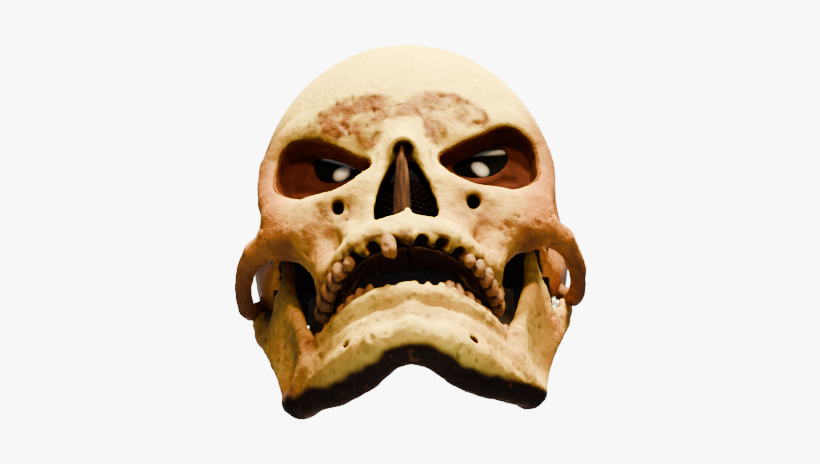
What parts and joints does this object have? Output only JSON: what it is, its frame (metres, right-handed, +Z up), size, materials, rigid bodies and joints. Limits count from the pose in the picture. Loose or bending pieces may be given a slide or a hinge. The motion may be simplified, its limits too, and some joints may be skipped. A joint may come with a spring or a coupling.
{
  "type": "skull costume mask",
  "caption": "Moulded latex skull costume mask with a hinged moving lower jaw, dark eye lenses and an elastic head harness.",
  "frame": {"origin": "midway between the wearer's ears", "axes": "the face looks along -Y, +X is the right of somebody facing it, +Z is up"},
  "size_m": [0.209, 0.2451, 0.2928],
  "materials": {
    "skull_latex": "matte foam latex, painted as aged bone",
    "jaw_latex": "matte foam latex, painted as aged bone",
    "socket_latex": "matte latex, dark red-brown wash",
    "septum_latex": "matte latex, brown wash",
    "teeth": "satin latex, stained",
    "eye_lens": "gloss black see-through lens",
    "lens_ring": "matte",
    "dark_liner": "matte, dark brown",
    "dark_mesh": "matte moulded mesh",
    "pad_foam": "knitted cover over foam",
    "hinge_steel": "brushed",
    "rivet_metal": "satin",
    "washer_plastic": "matte",
    "webbing": "woven elastic",
    "slider_plastic": "satin",
    "drape_fabric": "matte stretch knit",
    "elastic_cord": "braided"
  },
  "bodies": {
    "root": {"skull_shell": "skull_latex", "zygomatic_arch_left": "skull_latex", "zygomatic_arch_right": "skull_latex", "upper_teeth": "teeth", "palate_liner": "dark_liner", "nasal_mesh": "dark_mesh", "nasal_septum": "septum_latex", "eye_socket_left": "socket_latex", "eye_socket_right": "socket_latex", "eye_lens_left": "eye_lens", "eye_lens_right": "eye_lens", "lens_ring_left": "lens_ring", "lens_ring_right": "lens_ring", "forehead_pad": "pad_foam", "crown_pad": "pad_foam", "temple_pad_left": "pad_foam", "temple_pad_right": "pad_foam", "hinge_bracket_left": "hinge_steel", "hinge_bracket_right": "hinge_steel", "bracket_rivets": "rivet_metal", "pivot_post_left": "hinge_steel", "pivot_post_right": "hinge_steel", "hinge_washers": "washer_plastic", "head_band": "webbing", "crown_strap": "webbing", "strap_rivets": "rivet_metal", "mouth_drape": "drape_fabric", "jaw_elastic_left": "elastic_cord", "jaw_elastic_right": "elastic_cord", "shell_studs": "rivet_metal"},
    "jaw": {"jaw_shell": "jaw_latex", "lower_teeth": "teeth", "chin_cup": "pad_foam", "jaw_plate_left": "hinge_steel", "jaw_plate_right": "hinge_steel", "jaw_rivets": "rivet_metal", "jaw_studs": "rivet_metal"},
    "band_slider": {"band_slider": "slider_plastic"},
    "crown_slider": {"crown_slider": "slider_plastic"}
  },
  "joints": [
    {"name": "jaw_hinge", "type": "hinge", "parent": "root", "child": "jaw", "pos_m": [0, -0.017, -0.006], "axis": [1, 0, 0], "range_deg": [0, 20], "stiffness_Nm_per_rad": 0.6, "springref_deg": -28.65, "deforming": ["mouth_drape", "jaw_elastic_left", "jaw_elastic_right"]},
    {"name": "band_slide", "type": "slide", "parent": "root", "child": "band_slider", "axis": [1, 0, 0], "range_m": [-0.025, 0.02]},
    {"name": "crown_slide", "type": "slide", "parent": "root", "child": "crown_slider", "axis": [0, 0.7173, 0.6968], "range_m": [-0.012, 0.012]}
  ]
}
